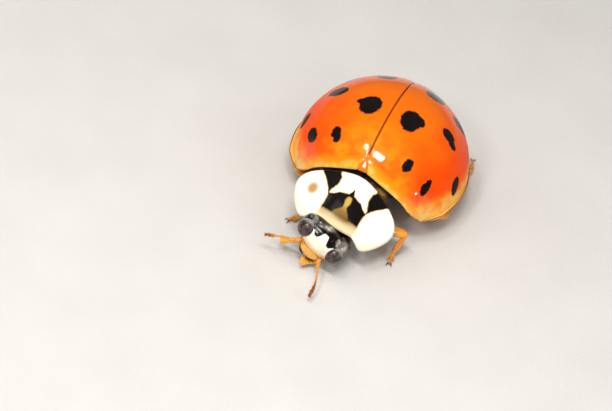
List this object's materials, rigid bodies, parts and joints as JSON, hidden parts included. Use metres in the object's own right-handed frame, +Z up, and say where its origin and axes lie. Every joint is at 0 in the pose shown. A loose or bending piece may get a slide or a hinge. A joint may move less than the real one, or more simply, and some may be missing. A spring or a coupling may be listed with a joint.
{
  "type": "ladybird",
  "caption": "Life-size harlequin ladybird beetle standing on its six feet, head and pronotum turned to one side, with spotted orange wing cases.",
  "frame": {"origin": "on the floor under the middle of the whole beetle's bounding box, between the feet", "axes": "+Z up from the floor, +Y towards the tail end of the wing cases, -Y the way the beetle faces, +X to the beetle's left side"},
  "size_m": [0.0058, 0.0091, 0.0035],
  "materials": {
    "wing_case": "glossy orange-red chitin with dark spots",
    "pronotum": "satin cream chitin with black markings",
    "chitin": "satin black chitin",
    "eye": "glossy dark faceted eye",
    "limb": "satin amber-brown chitin with fine hairs"
  },
  "bodies": {
    "root": {"abdomen": "chitin", "eye_left": "eye", "eye_right": "eye", "feeler_left": "limb", "feeler_right": "limb", "foot_front_left": "limb", "foot_front_right": "limb", "foot_hind_left": "limb", "foot_hind_right": "limb", "foot_middle_left": "limb", "foot_middle_right": "limb", "head": "chitin", "mouth_plate": "limb", "palp_left": "limb", "palp_right": "limb", "pronotum": "pronotum", "prothorax": "chitin", "scutellum": "wing_case", "shin_front_left": "limb", "shin_front_right": "limb", "shin_hind_left": "limb", "shin_hind_right": "limb", "shin_middle_left": "limb", "shin_middle_right": "limb", "thigh_front_left": "limb", "thigh_front_right": "limb", "thigh_hind_left": "limb", "thigh_hind_right": "limb", "thigh_middle_left": "limb", "thigh_middle_right": "limb", "thorax": "chitin", "wing_case_left": "wing_case", "wing_case_right": "wing_case"}
  },
  "joints": []
}
